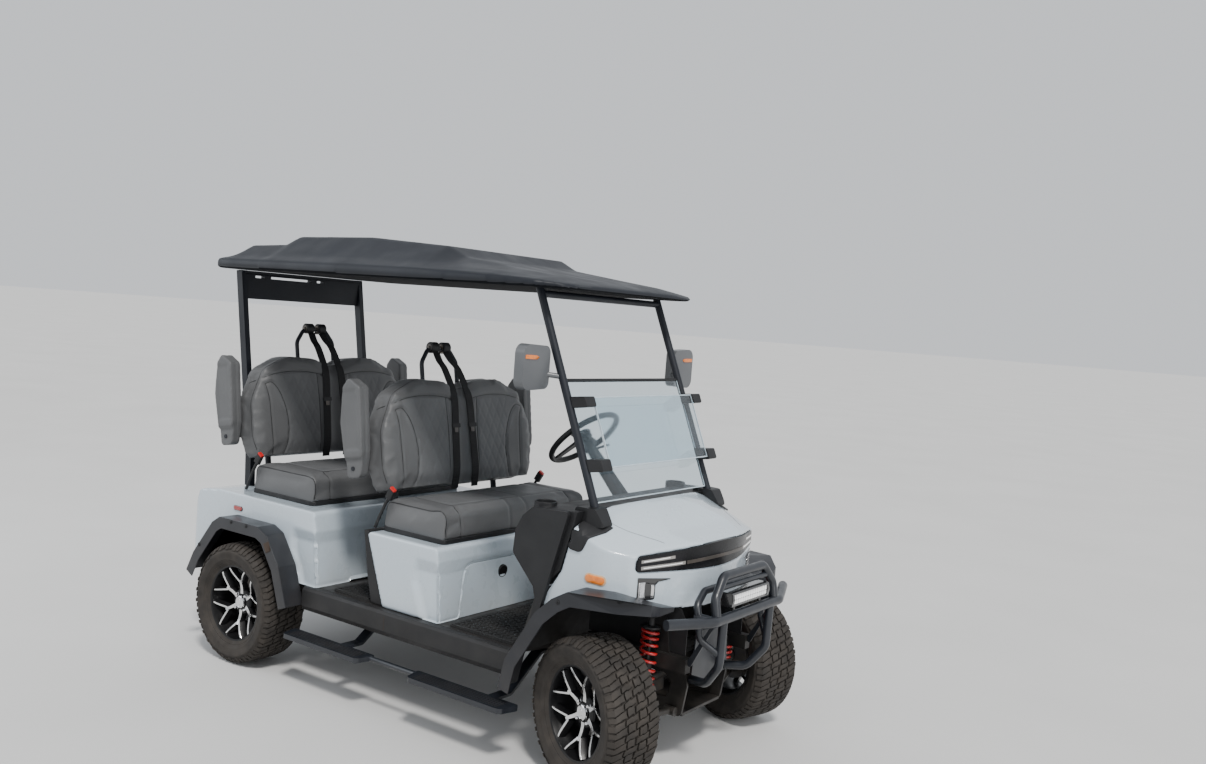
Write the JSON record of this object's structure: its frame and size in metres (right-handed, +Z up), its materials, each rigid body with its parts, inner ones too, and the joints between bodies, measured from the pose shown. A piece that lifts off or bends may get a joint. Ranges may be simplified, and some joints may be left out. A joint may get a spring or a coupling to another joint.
{
  "type": "golf cart",
  "caption": "Lifted electric golf cart with two forward-facing benches, a hard roof, folding windshield, tube bumper, side steps and coil-over front suspension.",
  "frame": {"origin": "on the ground, at the middle of the length and width", "axes": "+X forward, +Y to the cart's left, +Z up"},
  "size_m": [2.994, 1.5078, 2.105],
  "materials": {
    "body_paint": "gloss",
    "black_trim": "satin, fine grain",
    "roof_plastic": "satin",
    "frame_steel": "satin black",
    "shock_red": "gloss",
    "axle_metal": "rough",
    "tyre_rubber": "matt",
    "rim_alloy": "machined and gloss black",
    "seat_vinyl": "grained vinyl",
    "webbing": "woven webbing",
    "clear_screen": "polished",
    "lamp_black": "gloss",
    "lamp_red": "gloss",
    "mat_rubber": "ribbed",
    "mirror_grey": "satin",
    "battery_case": "matt"
  },
  "bodies": {
    "chassis": {"chassis_frame": "frame_steel", "front_subframe": "frame_steel", "frame_brackets": "frame_steel", "front_suspension_arms": "frame_steel", "front_shocks": "shock_red", "steering_rack": "axle_metal", "rear_axle": "axle_metal", "rear_leaf_springs": "frame_steel", "battery_block": "battery_case", "floor_pan": "frame_steel", "floor_mats": "mat_rubber", "rocker_panels": "black_trim", "side_steps": "black_trim", "seat_pod": "body_paint", "seat_pod_panels": "black_trim", "rear_body": "body_paint", "rear_flares": "black_trim", "front_flares": "black_trim", "nose_body": "body_paint", "headlight_bar": "lamp_black", "dash": "black_trim", "cowl_side_panels": "black_trim", "front_pillars": "roof_plastic", "rear_pillars": "roof_plastic", "roof": "roof_plastic", "windshield": "clear_screen", "windshield_clamps": "black_trim", "mirrors": "mirror_grey", "front_cushion": "seat_vinyl", "rear_cushion": "seat_vinyl", "front_backrest": "seat_vinyl", "rear_backrest": "seat_vinyl", "seat_frames": "roof_plastic", "belt_hoops": "roof_plastic", "seat_belts": "webbing", "front_bumper": "roof_plastic", "led_bar": "lamp_black", "steering_column": "black_trim", "pedals": "frame_steel", "tail_lamps": "lamp_red"},
    "rack": {"tie_rods": "axle_metal"},
    "knuckle_left": {"knuckle_left": "axle_metal"},
    "knuckle_right": {"knuckle_right": "axle_metal"},
    "steering_wheel": {"steering_wheel": "black_trim"},
    "armrest_front_left": {"armrest_front_left": "seat_vinyl"},
    "wheel_front_left": {"tyre_front_left": "tyre_rubber", "rim_front_left": "rim_alloy"},
    "armrest_front_right": {"armrest_front_right": "seat_vinyl"},
    "wheel_front_right": {"tyre_front_right": "tyre_rubber", "rim_front_right": "rim_alloy"},
    "armrest_rear_left": {"armrest_rear_left": "seat_vinyl"},
    "wheel_rear_left": {"tyre_rear_left": "tyre_rubber", "rim_rear_left": "rim_alloy"},
    "armrest_rear_right": {"armrest_rear_right": "seat_vinyl"},
    "wheel_rear_right": {"tyre_rear_right": "tyre_rubber", "rim_rear_right": "rim_alloy"}
  },
  "joints": [
    {"name": "steer_left", "type": "hinge", "parent": "chassis", "child": "knuckle_left", "pos_m": [1.145, 0.53, 0.292], "axis": [0, 0, 1], "range_deg": [-15, 55]},
    {"name": "steer_right", "type": "hinge", "parent": "chassis", "child": "knuckle_right", "pos_m": [1.145, -0.53, 0.292], "axis": [0, 0, 1], "range_deg": [-15, 55]},
    {"name": "rack_slide", "type": "slide", "parent": "chassis", "child": "rack", "axis": [0, 1, 0], "range_m": [-0.089, 0.025]},
    {"name": "steering_wheel_turn", "type": "hinge", "parent": "chassis", "child": "steering_wheel", "pos_m": [0.363, 0.3, 1.22], "axis": [-0.7001, 0, 0.7141], "range_deg": [-121, 441]},
    {"name": "roll_front_left", "type": "hinge", "parent": "knuckle_left", "child": "wheel_front_left", "pos_m": [1.15526, 0.55819, 0.292], "axis": [0.342, 0.9397, 0], "continuous": true},
    {"name": "roll_front_right", "type": "hinge", "parent": "knuckle_right", "child": "wheel_front_right", "pos_m": [1.13474, -0.55819, 0.292], "axis": [0.342, 0.9397, 0], "continuous": true},
    {"name": "roll_rear_left", "type": "hinge", "parent": "chassis", "child": "wheel_rear_left", "pos_m": [-0.937, 0.605, 0.292], "axis": [0, 1, 0], "continuous": true},
    {"name": "roll_rear_right", "type": "hinge", "parent": "chassis", "child": "wheel_rear_right", "pos_m": [-0.937, -0.605, 0.292], "axis": [0, 1, 0], "continuous": true},
    {"name": "armrest_turn_front_left", "type": "hinge", "parent": "chassis", "child": "armrest_front_left", "pos_m": [-0.26173, 0.568, 1.04155], "axis": [0, 1, 0], "range_deg": [0, 95]},
    {"name": "armrest_turn_front_right", "type": "hinge", "parent": "chassis", "child": "armrest_front_right", "pos_m": [-0.26173, -0.568, 1.04155], "axis": [0, 1, 0], "range_deg": [0, 95]},
    {"name": "armrest_turn_rear_left", "type": "hinge", "parent": "chassis", "child": "armrest_rear_left", "pos_m": [-1.20573, 0.568, 1.07155], "axis": [0, 1, 0], "range_deg": [0, 95]},
    {"name": "armrest_turn_rear_right", "type": "hinge", "parent": "chassis", "child": "armrest_rear_right", "pos_m": [-1.20573, -0.568, 1.07155], "axis": [0, 1, 0], "range_deg": [0, 95]}
  ],
  "couplings": [
    {"joint": "steer_right", "follows": "steer_left", "ratio": 1},
    {"joint": "steering_wheel_turn", "follows": "steer_left", "ratio": 8},
    {"joint": "rack_slide", "follows": "steer_left", "m_per_rad": -0.0907}
  ]
}
